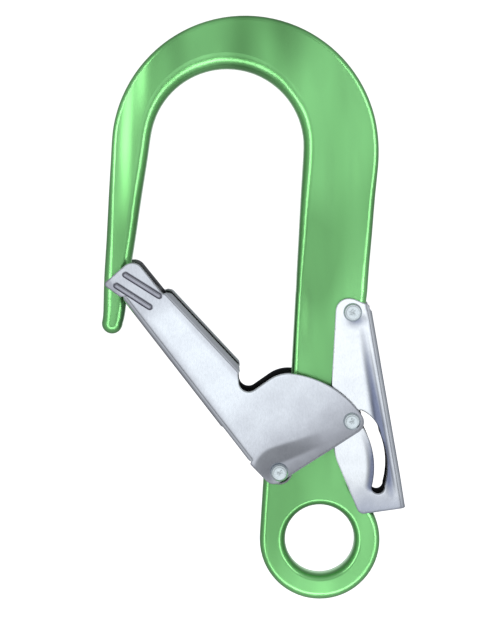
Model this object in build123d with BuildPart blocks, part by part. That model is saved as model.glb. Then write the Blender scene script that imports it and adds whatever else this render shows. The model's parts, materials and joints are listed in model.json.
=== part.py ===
"""Large-gape eye hook with a double-plate gate and a locking lever, as used on scaffold poles and rails.

The hook lies in the X-Z plane: X to the right, Z up through the eye, Y through the thickness.
The origin is the centre of the attachment eye. Sizes are in millimetres.
"""

from build123d import *
from math import atan, atan2, cos, degrees, pi, radians, sin, sqrt
import os

# Attachment eye and lower shank
EYE_HOLE_R = 14.5
EYE_OUTER_R = 25.2
SHANK_HALF = 6.0
SHANK_EDGE_R = 3.0
EYE_WALL_HALF = 1.0
EYE_RIM_WIDTH = 3.0
CHEEK_FOOT_ANGLE = 4.9
CHEEK_TOP = (-22.9, 38.0)
CHEEK_FLARE_Z = 62.0
CHEEK_BLEND_R = 16.0
EYE_BLEND_R = 12.0
EYE_CORNER_HEIGHTS = (15.0, 30.0)
CUT_OVERRUN = 1.0

# Bow: the inner and outer edges are arcs about two centres, carried on by straight legs
INNER_CENTRE = (-38.9, 165.2)
INNER_R = 32.0
OUTER_CENTRE = (-31.3, 163.8)
OUTER_R = 55.65
SHANK_INNER_AT = (-6.97, 163.5)
SHANK_INNER_LEAN = 0.0531
SHANK_OUTER_AT = (24.2, 159.2)
SHANK_OUTER_LEAN = 0.0831
NOSE_INNER_AT = (-70.55, 170.1)
NOSE_INNER_LEAN = 0.153
NOSE_OUTER_AT = (-86.8, 167.1)
NOSE_OUTER_LEAN = 0.0594
NOSE_END_Z = 90.6
SHANK_TOP_Z = 104.0
ROOT_DEPTH = 3.0
ROOT_INSET = 0.05
SHANK_STATIONS = (112.0, 122.0, 134.0, 148.0)
CROWN_STEP = 15
LAST_CROWN_ANGLE = 165
NOSE_STATIONS = (165.0, 150.0, 135.0, 120.0, 105.0, NOSE_END_Z)

# Cross-sections: half thickness at the inner and outer edges, and the radii that round them
CROWN_SECTION = (7.2, 5.2, 6.4, 2.2)
BOW_SIDE_SECTION = (7.0, 5.4, 4.3, 2.2)
SHANK_SECTION = (SHANK_HALF, SHANK_HALF, SHANK_EDGE_R, SHANK_EDGE_R)
NOSE_SECTION = (5.6, 5.6, 3.7, 3.7)

# Pivots and rivets
GATE_PIVOT = (-17.07, 29.57)
LOCK_PIVOT = (13.48, 96.23)
LOCK_PIN = (13.06, 51.07)
GATE_SHAFT_R = 2.5
LOCK_SHAFT_R = 2.75
PIN_SHAFT_R = 2.3
GATE_HEAD_R = 3.6
LOCK_HEAD_R = 3.9
PIN_HEAD_R = 3.6
RUNNING_GAP = 0.05
HEAD_HEIGHT = 1.3
HEAD_EDGE_R = 0.5

# Sheet metal: half widths are measured from the mid-plane to the inside of each side plate
SHEET = 1.5
GATE_INSIDE = 9.5
LOCK_INSIDE = 6.3
GATE_OUTSIDE = GATE_INSIDE + SHEET
LOCK_OUTSIDE = LOCK_INSIDE + SHEET
GATE_BEND_R = 2.5
LOCK_BEND_R = 3.0
STUD_CLEARANCE = 0.2
CHANNEL_DEPTH = 200.0

# Gate plate: web edge, tip, crease of the hem, notch, hump about the pivot, pin corner and heel
WEB_TOP = (-82.84, 102.51)
WEB_FOOT = (-28.85, 32.41)
WEB_LENGTH = 67.7
NOSE_STOP_GAP = 0.5
GATE_TIP = (-90.31, 108.1)
GATE_TOP = (-77.54, 119.29)
HEM_START = (-65.37, 104.17)
HEM_END = (-34.15, 70.6)
HEM_R = 2.85
NOTCH_FLOOR = (-33.27, 60.1)
GATE_HUMP_R = 41.8
PIN_CORNER_ANGLE = 27.7
GATE_HEEL = (-19.92, 23.09)
HUMP_BLEND_R = 14.0
NOTCH_R = 4.0
GATE_TOP_R = 5.0
GATE_TIP_R = 1.5
WEB_END_R = 5.0
GATE_HEEL_R = 4.5
PIN_CORNER_R = 5.0

# Pressed ribs in the gate's tip
RIB_ENDS = (((-84.51, 107.61), (-70.97, 98.87)), ((-80.78, 112.13), (-67.04, 103.49)))
RIB_WIDTH = 2.6
RIB_DEPTH = 0.6

# Lever plate: top, back edge with the web, heel, then the front edge upwards
LEVER_TOP_LEFT = (6.54, 102.24)
LEVER_TOP = (13.55, 102.04)
LEVER_SHOULDER = (20.36, 99.18)
LEVER_BACK_TOP = (21.44, 97.11)
LEVER_BACK_FOOT = (35.95, 14.1)
LEVER_HEEL = (16.41, 11.24)
LEVER_KNEE = (5.95, 36.01)
LEVER_WAIST = (4.37, 62.17)
LEVER_TOP_LEFT_R = 5.5
LEVER_TOP_R = 8.0
LEVER_SHOULDER_R = 1.2
LEVER_HEEL_R = 3.0
LEVER_SIDE_R = 20.0

# Curved slot in the lever plates: a pocket round the stud, then down along two arcs
POCKET_R = 3.0
SLOT_INNER_FOOT = (21.59, 22.79)
SLOT_INNER_MIDDLE = (22.63, 30.78)
SLOT_INNER_TOP = (18.18, 47.86)
SLOT_POCKET_SIDE = (17.1, 55.16)
SLOT_SHOULDER = (22.33, 51.31)
SLOT_BEND = (25.29, 44.6)
SLOT_OUTER_MIDDLE = (27.76, 35.92)
SLOT_OUTER_FOOT = (26.97, 22.99)
SLOT_FLOOR = (24.3, 20.03)

# Springs and the bushes inside the gate's coils
WIRE_R = 0.5
GATE_COIL_R = 5.0
GATE_COIL_PITCH = 1.06
GATE_COIL_ANGLE = 143.0
GATE_COIL_TURNS = 2 - 87 / 360
GATE_COIL_START = 6.85
GATE_FIXED_LEG = 8.0
GATE_MOVING_LEG = 32.4
SPRING_HOLE_R = 0.6
SPRING_HOLE_DEPTH = 2.6
SPRING_HOOK = 3.0
SPRING_HOOK_R = 1.2
LOCK_COIL_R = 4.6
LOCK_COIL_PITCH = 1.05
LOCK_COIL_TURNS = 3 + 165 / 360
LOCK_FIXED_LEG = 16.0
LOCK_MOVING_LEG = 16.5
SPRING_SLOT_HALF = 2.6
SPRING_SLOT_R = 5.8
SPRING_SLOT_REACH = 10.0
SPRING_SLOT_FOOT_Z = 76.8
BUSH_R = 3.9
BUSH_GAP = 0.15


def shank_inner(z):
    return SHANK_INNER_AT[0] - SHANK_INNER_LEAN * (SHANK_INNER_AT[1] - z)


def shank_outer(z):
    return SHANK_OUTER_AT[0] - SHANK_OUTER_LEAN * (SHANK_OUTER_AT[1] - z)


def nose_inner(z):
    return NOSE_INNER_AT[0] - NOSE_INNER_LEAN * (NOSE_INNER_AT[1] - z)


def nose_outer(z):
    return NOSE_OUTER_AT[0] - NOSE_OUTER_LEAN * (NOSE_OUTER_AT[1] - z)


def smooth_step(t):
    t = min(max(t, 0.0), 1.0)
    return t * t * (3 - 2 * t)


def blend_sections(first, second, t):
    """Mix two sets of section sizes, t running from 0 at the first to 1 at the second."""
    return tuple(a + (b - a) * t for a, b in zip(first, second))


def crown_station(angle):
    """Plane and width of the bow's section on the ray at this angle from the inner arc's centre."""
    ray = (cos(radians(angle)), sin(radians(angle)))
    to_outer = (INNER_CENTRE[0] - OUTER_CENTRE[0], INNER_CENTRE[1] - OUTER_CENTRE[1])
    along = ray[0] * to_outer[0] + ray[1] * to_outer[1]
    reach = -along + sqrt(along**2 + OUTER_R**2 - to_outer[0]**2 - to_outer[1]**2)
    origin = (INNER_CENTRE[0] + INNER_R * ray[0], 0, INNER_CENTRE[1] + INNER_R * ray[1])
    plane = Plane(origin=origin, x_dir=(ray[0], 0, ray[1]), z_dir=(-ray[1], 0, ray[0]))
    return plane, reach - INNER_R


def shank_station(z, inset=0.0):
    plane = Plane(origin=(shank_inner(z) + inset, 0, z), x_dir=(1, 0, 0), z_dir=(0, 0, 1))
    return plane, shank_outer(z) - shank_inner(z) - 2 * inset


def nose_station(z):
    """Section square to the nose's mean lean, from its inner edge at this height."""
    lean = atan((NOSE_INNER_LEAN + NOSE_OUTER_LEAN) / 2)
    width = (nose_inner(z) - nose_outer(z)) / (cos(lean) + NOSE_OUTER_LEAN * sin(lean))
    plane = Plane(
        origin=(nose_inner(z), 0, z), x_dir=(-cos(lean), 0, sin(lean)), z_dir=(-sin(lean), 0, -cos(lean))
    )
    return plane, width


def bow_stations():
    """Every section of the bow in order from the shank over the crown to the nose."""
    stations = []
    crown_z = INNER_CENTRE[1]
    # The bow's root is let into the shank's end, a hair smaller, so that their faces never coincide
    root = blend_sections(SHANK_SECTION, (0, 0, 0, 0), ROOT_INSET / SHANK_HALF)
    stations.append((*shank_station(SHANK_TOP_Z - ROOT_DEPTH, ROOT_INSET), root))
    for z in SHANK_STATIONS:
        t = smooth_step((z - SHANK_TOP_Z) / (crown_z - SHANK_TOP_Z))
        stations.append((*shank_station(z), blend_sections(SHANK_SECTION, BOW_SIDE_SECTION, t)))
    for angle in range(0, LAST_CROWN_ANGLE + 1, CROWN_STEP):
        t = sin(radians(angle)) ** 2
        stations.append((*crown_station(angle), blend_sections(BOW_SIDE_SECTION, CROWN_SECTION, t)))
    for z in NOSE_STATIONS:
        t = smooth_step((crown_z - z) / (crown_z - NOSE_END_Z))
        stations.append((*nose_station(z), blend_sections(BOW_SIDE_SECTION, NOSE_SECTION, t)))
    return stations


def bar_section(plane, width, sizes):
    """Tapered bar section on a plane: inner edge at its x = 0, outer edge at x = width."""
    inner_half, outer_half, inner_r, outer_r = sizes
    with BuildSketch(plane) as section:
        with BuildLine():
            Polyline(
                (0, -inner_half),
                (width, -outer_half),
                (width, outer_half),
                (0, inner_half),
                close=True,
            )
        make_face()
        fillet(section.vertices().group_by(Axis.X)[0], radius=inner_r)
        fillet(section.vertices().group_by(Axis.X)[-1], radius=outer_r)
    return section.sketch


# Forged hook body: bow, the nose's rounded end, then the shank with the eye
with BuildPart() as bow:
    loft(sections=[bar_section(*station) for station in bow_stations()])

# The nose ends in half a turn of its own section
with BuildPart() as nose_tip:
    nose_plane, nose_width = nose_station(NOSE_END_Z)
    with BuildSketch(nose_plane) as half_section:
        with Locations((nose_width / 2, 0)):
            Rectangle(nose_width / 2, 2 * NOSE_SECTION[1], align=(Align.MIN, Align.CENTER))
        fillet(half_section.vertices().group_by(Axis.X)[-1], radius=NOSE_SECTION[3])
    nose_middle = nose_plane.from_local_coords((nose_width / 2, 0, 0))
    revolve(axis=Axis(nose_middle, (0, -1, 0)), revolution_arc=180)

coil_angle = radians(GATE_COIL_ANGLE)
gate_coil_x = (cos(coil_angle), 0, sin(coil_angle))
spring_hole = (
    GATE_PIVOT[0] + GATE_COIL_R * cos(coil_angle) + GATE_FIXED_LEG * sin(coil_angle),
    GATE_PIVOT[1] + GATE_COIL_R * sin(coil_angle) - GATE_FIXED_LEG * cos(coil_angle),
)

with BuildPart() as hook_body:
    with BuildSketch(Plane.XZ) as shank_outline:
        foot_angle = radians(CHEEK_FOOT_ANGLE)
        cheek_foot = (-EYE_OUTER_R * cos(foot_angle), EYE_OUTER_R * sin(foot_angle))
        with BuildLine():
            Polyline(
                (shank_inner(SHANK_TOP_Z), SHANK_TOP_Z),
                (shank_outer(SHANK_TOP_Z), SHANK_TOP_Z),
                (shank_outer(0), 0),
                cheek_foot,
                CHEEK_TOP,
                (shank_inner(CHEEK_FLARE_Z), CHEEK_FLARE_Z),
                close=True,
            )
        make_face()
        for corner in (CHEEK_TOP, (shank_inner(CHEEK_FLARE_Z), CHEEK_FLARE_Z)):
            fillet(shank_outline.vertices().sort_by_distance((*corner, 0))[0], radius=CHEEK_BLEND_R)
        Circle(EYE_OUTER_R)
        above_eye = shank_outline.vertices().filter_by_position(Axis.Y, *EYE_CORNER_HEIGHTS)
        fillet(above_eye.sort_by(Axis.X)[-1], radius=EYE_BLEND_R)
    extrude(amount=SHANK_HALF, both=True)
    faces_across = hook_body.faces().filter_by(Axis.Y)
    rim = faces_across.edges().filter_by(lambda edge: edge.center().Z < SHANK_TOP_Z - CUT_OVERRUN)
    fillet(rim, radius=SHANK_EDGE_R)
    # The eye's hole: a short straight wall between two elliptical rims
    with BuildSketch(Plane.XY):
        rim_depth = SHANK_HALF - EYE_WALL_HALF
        rim_edge = EYE_HOLE_R + EYE_RIM_WIDTH
        with BuildLine():
            near_rim = EllipticalCenterArc(
                (rim_edge, EYE_WALL_HALF), EYE_RIM_WIDTH, rim_depth, start_angle=90, arc_size=90
            )
            far_rim = EllipticalCenterArc(
                (rim_edge, -EYE_WALL_HALF), EYE_RIM_WIDTH, rim_depth, start_angle=180, arc_size=90
            )
            Line(near_rim @ 1, far_rim @ 0)
            Polyline(far_rim @ 1, (0, -SHANK_HALF), (0, SHANK_HALF), near_rim @ 0)
        make_face()
    revolve(axis=Axis.Y, mode=Mode.SUBTRACT)
    add(bow.part)
    add(nose_tip.part)
    with BuildSketch(Plane.XZ):
        with Locations(GATE_PIVOT):
            Circle(GATE_SHAFT_R + RUNNING_GAP)
        with Locations(LOCK_PIVOT):
            Circle(LOCK_SHAFT_R + RUNNING_GAP)
    extrude(amount=SHANK_HALF + CUT_OVERRUN, both=True, mode=Mode.SUBTRACT)
    with BuildSketch(Plane.XZ):
        with Locations(LOCK_PIVOT):
            Circle(SPRING_SLOT_R)
        slot_left = LOCK_PIVOT[0] - SPRING_SLOT_R
        slot_right = LOCK_PIVOT[0] + SPRING_SLOT_REACH
        with BuildLine():
            Polyline(
                (slot_left, LOCK_PIVOT[1]),
                (slot_left, SPRING_SLOT_FOOT_Z),
                (slot_right, SPRING_SLOT_FOOT_Z),
                (slot_right, LOCK_PIVOT[1] + SPRING_SLOT_R),
                (LOCK_PIVOT[0], LOCK_PIVOT[1] + SPRING_SLOT_R),
                close=True,
            )
        make_face()
    extrude(amount=SPRING_SLOT_HALF, both=True, mode=Mode.SUBTRACT)
    # Blind holes that hold the fixed ends of the gate springs
    for side in (-1, 1):
        with BuildSketch(Plane.XZ.offset(side * SHANK_HALF)):
            with Locations(spring_hole):
                Circle(SPRING_HOLE_R)
        extrude(amount=-side * SPRING_HOLE_DEPTH, mode=Mode.SUBTRACT)


def mid_point(first, second):
    return ((first[0] + second[0]) / 2, (first[1] + second[1]) / 2)


def upright(point):
    """A point of the hook's own plane in space."""
    return (point[0], 0, point[1])


def edge_plane(start, end):
    """Side plate's plane whose x runs from start towards end and whose y points to the left of that."""
    along = upright((end[0] - start[0], end[1] - start[1]))
    return Plane(origin=upright(start), x_dir=along, z_dir=(0, -1, 0))


def folded_channel(start, end, inside, bend_r):
    """Sheet folded to a U whose web lies on a line and whose side plates reach to the line's left."""
    run = (end[0] - start[0], end[1] - start[1])
    across = Plane(origin=upright(start), x_dir=upright((-run[1], run[0])), z_dir=upright(run))
    with BuildPart() as channel:
        with BuildSketch(across) as profile:
            Rectangle(CHANNEL_DEPTH, 2 * (inside + SHEET), align=(Align.MIN, Align.CENTER))
            fillet(profile.vertices().group_by(Axis.X)[0], radius=bend_r)
            with BuildSketch(mode=Mode.SUBTRACT) as hollow:
                with Locations((SHEET, 0)):
                    Rectangle(CHANNEL_DEPTH, 2 * inside, align=(Align.MIN, Align.CENTER))
                fillet(hollow.vertices().group_by(Axis.X)[0], radius=bend_r - SHEET)
        extrude(amount=CHANNEL_DEPTH, both=True)
    return channel.part


# Gate: one folded sheet, a side plate each side, the web along its outer edge, and rolled hems
corner_angle = radians(PIN_CORNER_ANGLE)
pin_corner = (
    GATE_PIVOT[0] + GATE_HUMP_R * cos(corner_angle),
    GATE_PIVOT[1] + GATE_HUMP_R * sin(corner_angle),
)
hump_top = (GATE_PIVOT[0], GATE_PIVOT[1] + GATE_HUMP_R)
with BuildSketch(Plane.XZ) as gate_outline:
    with BuildLine():
        Polyline(
            hump_top,
            NOTCH_FLOOR,
            HEM_END,
            HEM_START,
            GATE_TOP,
            GATE_TIP,
            WEB_TOP,
            WEB_FOOT,
            GATE_HEEL,
            pin_corner,
        )
        RadiusArc(pin_corner, hump_top, -GATE_HUMP_R)
    make_face()
    for corner, radius in (
        (hump_top, HUMP_BLEND_R),
        (NOTCH_FLOOR, NOTCH_R),
        (GATE_TOP, GATE_TOP_R),
        (GATE_TIP, GATE_TIP_R),
        (WEB_TOP, WEB_END_R),
        (WEB_FOOT, WEB_END_R),
        (GATE_HEEL, GATE_HEEL_R),
        (pin_corner, PIN_CORNER_R),
    ):
        fillet(gate_outline.vertices().sort_by_distance((*corner, 0))[0], radius=radius)

# The tip reaches past the web's line as a flat ear on each plate
with BuildPart() as gate_ears:
    extrude(gate_outline.sketch, amount=GATE_OUTSIDE, both=True)
    with BuildSketch(edge_plane(WEB_TOP, WEB_FOOT)):
        Rectangle(CHANNEL_DEPTH, CHANNEL_DEPTH, align=(Align.MAX, Align.CENTER))
    extrude(amount=GATE_OUTSIDE, both=True, mode=Mode.INTERSECT)
    extrude(gate_outline.sketch, amount=GATE_INSIDE, both=True, mode=Mode.SUBTRACT)

with BuildPart() as gate:
    add(folded_channel(WEB_TOP, WEB_FOOT, GATE_INSIDE, GATE_BEND_R))
    extrude(gate_outline.sketch, amount=GATE_OUTSIDE, both=True, mode=Mode.INTERSECT)
    add(gate_ears.part)
    # The web stops short of the nose above and of the shank below
    with BuildSketch(Plane.XZ):
        nose_low = nose_inner(NOSE_END_Z) + NOSE_STOP_GAP
        nose_high = nose_inner(GATE_TOP[1]) + NOSE_STOP_GAP
        with BuildLine():
            Polyline(
                (nose_low, NOSE_END_Z),
                (nose_high, GATE_TOP[1]),
                (GATE_TIP[0], GATE_TOP[1]),
                (GATE_TIP[0], NOSE_END_Z),
                close=True,
            )
        make_face()
    extrude(amount=GATE_INSIDE, both=True, mode=Mode.SUBTRACT)
    with BuildSketch(edge_plane(WEB_TOP, WEB_FOOT)):
        with Locations((WEB_LENGTH, 0)):
            Rectangle(CHANNEL_DEPTH, 2 * SHEET, align=(Align.MIN, Align.CENTER))
    extrude(amount=GATE_INSIDE, both=True, mode=Mode.SUBTRACT)
    # Hems: a quarter roll inwards along each plate's crease
    hem_run = (HEM_END[0] - HEM_START[0], HEM_END[1] - HEM_START[1])
    hem_plane = Plane(
        origin=upright(HEM_START), x_dir=upright((-hem_run[1], hem_run[0])), z_dir=upright(hem_run)
    )
    with BuildSketch(hem_plane):
        with BuildLine():
            roll = CenterArc((0, GATE_OUTSIDE - HEM_R), HEM_R, 0, 90)
            inner_roll = CenterArc((0, GATE_OUTSIDE - HEM_R), HEM_R - SHEET, 0, 90)
            Line(roll @ 0, inner_roll @ 0)
            Line(roll @ 1, inner_roll @ 1)
        make_face()
        mirror(about=Plane.XZ)
    extrude(amount=sqrt(hem_run[0]**2 + hem_run[1]**2))
    # Rivet holes, and the ribs pressed into the tip
    with BuildSketch(Plane.XZ):
        with Locations(GATE_PIVOT):
            Circle(GATE_SHAFT_R)
        with Locations(LOCK_PIN):
            Circle(PIN_SHAFT_R)
    extrude(amount=GATE_OUTSIDE, both=True, mode=Mode.SUBTRACT)
    for side in (-1, 1):
        with BuildSketch(Plane.XZ.offset(side * GATE_OUTSIDE)):
            for rib_start, rib_end in RIB_ENDS:
                rib_run = Vector(rib_end[0] - rib_start[0], rib_end[1] - rib_start[1])
                rib_angle = degrees(atan2(rib_run.Y, rib_run.X))
                with Locations(mid_point(rib_start, rib_end)):
                    SlotCenterToCenter(rib_run.length, RIB_WIDTH, rotation=rib_angle)
        extrude(amount=-side * RIB_DEPTH, mode=Mode.SUBTRACT)

# Locking lever: one folded sheet, a side plate each side of the shank and the web at its back
with BuildSketch(Plane.XZ) as lever_outline:
    with BuildLine():
        Polyline(
            LEVER_TOP_LEFT,
            LEVER_TOP,
            LEVER_SHOULDER,
            LEVER_BACK_TOP,
            LEVER_BACK_FOOT,
            LEVER_HEEL,
            LEVER_KNEE,
            LEVER_WAIST,
            close=True,
        )
    make_face()
    for corner, radius in (
        (LEVER_TOP_LEFT, LEVER_TOP_LEFT_R),
        (LEVER_TOP, LEVER_TOP_R),
        (LEVER_SHOULDER, LEVER_SHOULDER_R),
        (LEVER_HEEL, LEVER_HEEL_R),
        (LEVER_KNEE, LEVER_SIDE_R),
        (LEVER_WAIST, LEVER_SIDE_R),
    ):
        fillet(lever_outline.vertices().sort_by_distance((*corner, 0))[0], radius=radius)

with BuildSketch(Plane.XZ) as lever_slot:
    pocket_low = (LOCK_PIN[0], LOCK_PIN[1] - POCKET_R)
    pocket_high = (LOCK_PIN[0], LOCK_PIN[1] + POCKET_R)
    with BuildLine():
        ThreePointArc(SLOT_INNER_FOOT, SLOT_INNER_MIDDLE, SLOT_INNER_TOP)
        Line(SLOT_INNER_TOP, pocket_low)
        ThreePointArc(pocket_low, (LOCK_PIN[0] - POCKET_R, LOCK_PIN[1]), pocket_high)
        Line(pocket_high, SLOT_POCKET_SIDE)
        ThreePointArc(SLOT_POCKET_SIDE, SLOT_SHOULDER, SLOT_BEND)
        ThreePointArc(SLOT_BEND, SLOT_OUTER_MIDDLE, SLOT_OUTER_FOOT)
        ThreePointArc(SLOT_OUTER_FOOT, SLOT_FLOOR, SLOT_INNER_FOOT)
    make_face()

with BuildPart() as lock_lever:
    add(folded_channel(LEVER_BACK_FOOT, LEVER_BACK_TOP, LOCK_INSIDE, LOCK_BEND_R))
    extrude(lever_outline.sketch, amount=LOCK_OUTSIDE, both=True, mode=Mode.INTERSECT)
    extrude(lever_slot.sketch, amount=LOCK_OUTSIDE, both=True, mode=Mode.SUBTRACT)
    with BuildSketch(Plane.XZ):
        with Locations(LOCK_PIVOT):
            Circle(LOCK_SHAFT_R)
    extrude(amount=LOCK_OUTSIDE, both=True, mode=Mode.SUBTRACT)


def rivet(place, shaft_r, head_r, half_width):
    """Shaft across both side plates, with a flat head with a rounded edge against each."""
    with BuildPart() as piece:
        with BuildSketch(Plane.XZ):
            with Locations(place):
                Circle(shaft_r)
        extrude(amount=half_width, both=True)
        with BuildSketch(Plane.XZ.offset(half_width)):
            with Locations(place):
                Circle(head_r)
        extrude(amount=HEAD_HEIGHT)
        fillet(piece.faces().sort_by(Axis.Y)[0].edges(), radius=HEAD_EDGE_R)
        mirror(about=Plane.XZ)
    return piece.part


def lock_stud():
    """Short headed stud in the front gate plate, its inner end just clear of the lever plate."""
    with BuildPart() as piece:
        with BuildSketch(Plane.XZ.offset(LOCK_OUTSIDE + STUD_CLEARANCE)):
            with Locations(LOCK_PIN):
                Circle(PIN_SHAFT_R)
        extrude(amount=GATE_OUTSIDE - LOCK_OUTSIDE - STUD_CLEARANCE)
        with BuildSketch(Plane.XZ.offset(GATE_OUTSIDE)):
            with Locations(LOCK_PIN):
                Circle(PIN_HEAD_R)
        extrude(amount=HEAD_HEIGHT)
        fillet(piece.faces().sort_by(Axis.Y)[0].edges(), radius=HEAD_EDGE_R)
    return piece.part


def gate_bush():
    """Spacer between the body's front face and the front gate plate, inside the spring's coil."""
    with BuildPart() as piece:
        with BuildSketch(Plane.XZ.offset(SHANK_HALF + BUSH_GAP)):
            with Locations(GATE_PIVOT):
                Circle(BUSH_R)
                Circle(GATE_SHAFT_R, mode=Mode.SUBTRACT)
        extrude(amount=GATE_INSIDE - SHANK_HALF - BUSH_GAP)
    return piece.part


def torsion_spring(coil_plane, coil_r, pitch, turns, fixed_leg, moving_leg):
    """Coil about the plane's axis, its first turn starting on the plane's x, with a leg at each end."""
    rise = pitch * turns
    end_angle = 2 * pi * turns
    coil_end = Vector(coil_r * cos(end_angle), coil_r * sin(end_angle), rise)
    leg_run = Vector(-sin(end_angle), cos(end_angle), 0) * moving_leg
    with BuildPart() as piece:
        with BuildLine() as wire:
            if len(fixed_leg) > 2:
                FilletPolyline(*fixed_leg, radius=SPRING_HOOK_R)
            else:
                Line(*fixed_leg)
            Helix(pitch, rise, coil_r)
            Line(coil_end, coil_end + leg_run)
        with BuildSketch(Plane(origin=wire.line @ 0, z_dir=wire.line % 0)):
            Circle(WIRE_R)
        sweep()
    return piece.part.moved(coil_plane.location)


def gate_spring():
    """Front spring: hooked into the body, coiled round the bush, and bearing on the gate's web."""
    origin = (GATE_PIVOT[0], -GATE_COIL_START, GATE_PIVOT[1])
    coil_plane = Plane(origin=origin, x_dir=gate_coil_x, z_dir=(0, -1, 0))
    hook = (
        (GATE_COIL_R, -GATE_FIXED_LEG, -SPRING_HOOK),
        (GATE_COIL_R, -GATE_FIXED_LEG, 0),
        (GATE_COIL_R, 0, 0),
    )
    return torsion_spring(
        coil_plane, GATE_COIL_R, GATE_COIL_PITCH, GATE_COIL_TURNS, hook, GATE_MOVING_LEG
    )


def lock_spring():
    """Spring in the shank's slot: one leg down the slot's wall, one against the lever's web."""
    origin = (LOCK_PIVOT[0], -LOCK_COIL_PITCH * LOCK_COIL_TURNS / 2, LOCK_PIVOT[1])
    coil_plane = Plane(origin=origin, x_dir=(-1, 0, 0), z_dir=(0, 1, 0))
    leg = ((LOCK_COIL_R, -LOCK_FIXED_LEG, 0), (LOCK_COIL_R, 0, 0))
    return torsion_spring(
        coil_plane, LOCK_COIL_R, LOCK_COIL_PITCH, LOCK_COIL_TURNS, leg, LOCK_MOVING_LEG
    )


pieces = {
    "hook_body": hook_body.part,
    "gate": gate.part,
    "lock_lever": lock_lever.part,
    "gate_pivot_rivet": rivet(GATE_PIVOT, GATE_SHAFT_R, GATE_HEAD_R, GATE_OUTSIDE),
    "lock_pivot_rivet": rivet(LOCK_PIVOT, LOCK_SHAFT_R, LOCK_HEAD_R, LOCK_OUTSIDE),
    "lock_stud_front": lock_stud(),
    "lock_stud_rear": mirror(lock_stud(), about=Plane.XZ),
    "gate_bush_front": gate_bush(),
    "gate_bush_rear": mirror(gate_bush(), about=Plane.XZ),
    "gate_spring_front": gate_spring(),
    "gate_spring_rear": mirror(gate_spring(), about=Plane.XZ),
    "lock_spring": lock_spring(),
}

os.makedirs("parts", exist_ok=True)
for name, piece in pieces.items():
    piece.label = name
    export_step(piece, f"parts/{name}.step")
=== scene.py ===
"""Large-gape eye hook: fine sheet-metal, rivets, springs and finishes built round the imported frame.

The plates are modelled as flat blanks that are pressed and then folded, as the real ones are.
Outline sizes are in millimetres in the frame's X-Z plane, and MM turns them into metres.
"""

import json
import math

import bmesh
import bpy
import numpy as np
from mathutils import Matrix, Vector, geometry


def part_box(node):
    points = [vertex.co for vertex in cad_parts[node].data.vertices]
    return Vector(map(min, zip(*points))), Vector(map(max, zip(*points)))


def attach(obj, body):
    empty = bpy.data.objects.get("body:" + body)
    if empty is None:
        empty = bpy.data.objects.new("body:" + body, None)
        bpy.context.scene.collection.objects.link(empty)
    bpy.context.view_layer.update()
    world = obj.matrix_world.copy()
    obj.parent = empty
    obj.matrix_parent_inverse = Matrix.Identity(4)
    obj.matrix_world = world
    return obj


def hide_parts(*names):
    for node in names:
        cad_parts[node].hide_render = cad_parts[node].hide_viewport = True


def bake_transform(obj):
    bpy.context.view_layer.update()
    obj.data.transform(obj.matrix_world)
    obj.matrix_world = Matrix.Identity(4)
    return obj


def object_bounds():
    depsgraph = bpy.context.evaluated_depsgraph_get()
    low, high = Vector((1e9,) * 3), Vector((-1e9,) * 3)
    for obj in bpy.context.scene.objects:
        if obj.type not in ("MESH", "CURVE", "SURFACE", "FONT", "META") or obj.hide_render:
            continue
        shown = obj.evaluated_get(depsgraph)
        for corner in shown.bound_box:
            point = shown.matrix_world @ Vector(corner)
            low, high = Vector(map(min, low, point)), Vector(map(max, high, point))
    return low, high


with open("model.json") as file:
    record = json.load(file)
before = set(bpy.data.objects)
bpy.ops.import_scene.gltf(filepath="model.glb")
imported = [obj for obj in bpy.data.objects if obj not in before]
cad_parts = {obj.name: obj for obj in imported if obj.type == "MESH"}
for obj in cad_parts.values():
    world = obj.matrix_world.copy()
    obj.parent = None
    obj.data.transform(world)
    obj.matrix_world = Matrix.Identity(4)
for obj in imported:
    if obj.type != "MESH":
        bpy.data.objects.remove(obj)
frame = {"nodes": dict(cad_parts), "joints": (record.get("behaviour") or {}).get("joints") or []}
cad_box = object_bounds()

MM = 0.001

# Blank sampling: distance between mesh points, and the steps across a sheet's rounded rim
SPACING = 0.85
RIM_R = 0.45
RIM_STEPS = (0.03, 0.1, 0.21, 0.34, 0.47)
SEAM_TOLERANCE = 0.001
SHEET = 1.5

# Gate plate
WEB_TOP = (-82.84, 102.51)
WEB_FOOT = (-28.85, 32.41)
WEB_START = 3.6
WEB_END = 67.7
FLANGE_END = 86.3
FLANGE_ANGLE = math.radians(60)
GATE_TIP = (-90.31, 108.1)
GATE_TOP = (-77.54, 119.29)
HEM_START = (-65.37, 104.17)
HEM_END = (-34.15, 70.6)
HEM_R = 2.85
HEM_NEUTRAL_R = 1.2
HEM_TURN = math.radians(40)
NOTCH_FLOOR = (-33.27, 60.1)
GATE_HEEL = (-19.92, 23.09)
HUMP_R = 41.8
HUMP_TOP_R = 14.0
PIN_CORNER_ANGLE = math.radians(27.7)
PIN_CORNER_R = 5.0
GATE_BEND_R = 2.5
RIBS = (((-84.51, 107.61), (-70.97, 98.87)), ((-80.78, 112.13), (-67.04, 103.49)))
RIB_HALF = 1.35
RIB_DEPTH = 0.7
RIB_STEEP_WALL = 0.35
RIB_GENTLE_WALL = 1.0
RIB_RINGS = (0.0, 0.3, 0.6, 0.82, 0.95, 1.05, 1.15, 1.25, 1.35, 1.45, 1.7)
RIB_SPACING = 0.4
FOLD_ROW = 0.6
FOLD_STEPS = 9
GATE_HEAD_R = 3.6
JOGGLE_DEPTH = 0.85
JOGGLE_REACH = 10.8
JOGGLE_TAPER = 2.0
JOGGLE_SPINE_END = (8.0, 40.0)
CROWN_DEPTH = 0.6
CROWN_REACH = 16.0

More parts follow.
